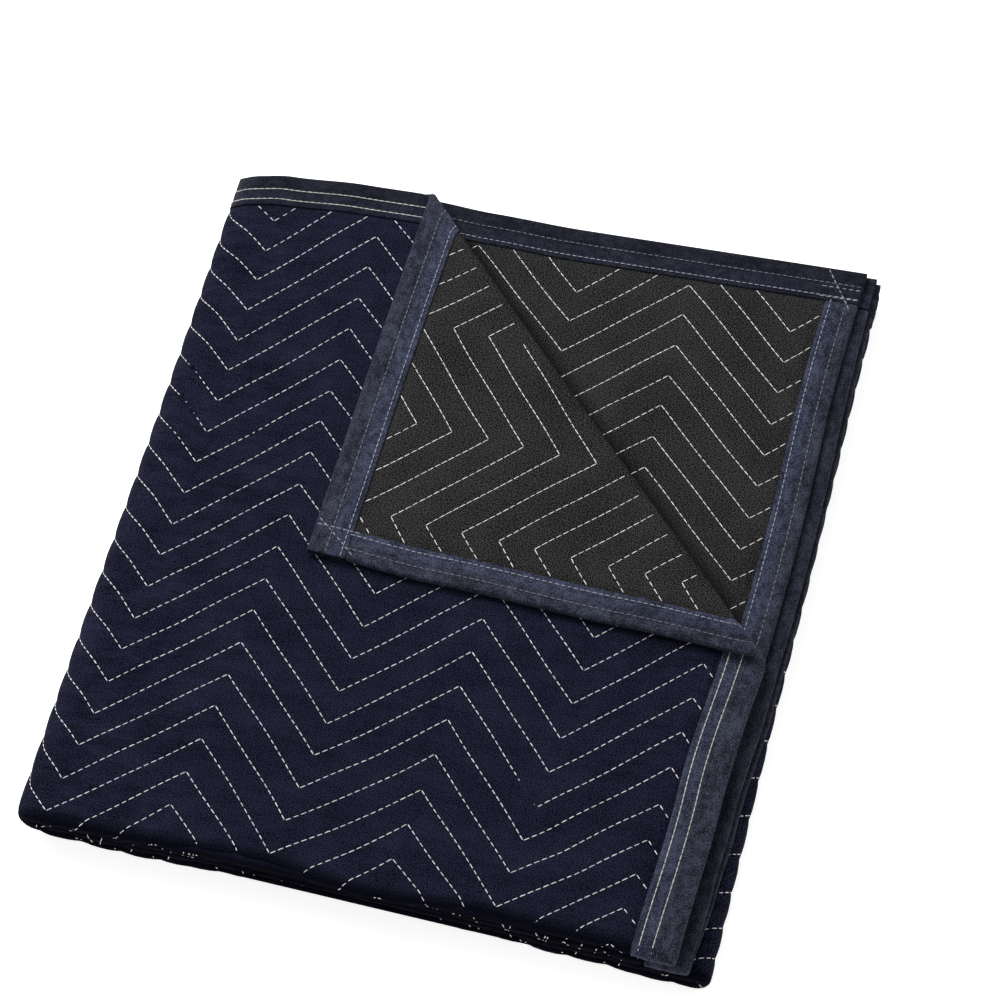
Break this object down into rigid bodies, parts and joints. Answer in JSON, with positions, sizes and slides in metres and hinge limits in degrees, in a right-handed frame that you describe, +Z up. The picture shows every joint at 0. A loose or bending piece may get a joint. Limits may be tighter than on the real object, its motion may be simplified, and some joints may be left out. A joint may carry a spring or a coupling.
{
  "type": "moving blanket",
  "caption": "Quilted moving blanket folded into a flat rectangular pack, with one bound corner turned back to show its dark underside.",
  "frame": {"origin": "centre of the pack's footprint, on the surface that it rests on", "axes": "+Z up through the layers; +Y from the edge with four rolled folds to the edge where the bound sides lie one over another; +X from the single thick fold to the side with the free ends"},
  "size_m": [0.4566, 0.5284, 0.0567],
  "materials": {
    "navy_cloth": "woven, matt, dark navy",
    "black_cloth": "twill, matt, charcoal",
    "slate_binding": "brushed, matt, slate grey-blue"
  },
  "bodies": {
    "root": {"navy_face_panel": "navy_cloth", "black_backing_panel": "black_cloth", "long_binding_upper": "slate_binding", "long_binding_lower": "slate_binding", "end_binding_top": "slate_binding", "end_binding_inner": "slate_binding"}
  },
  "joints": []
}
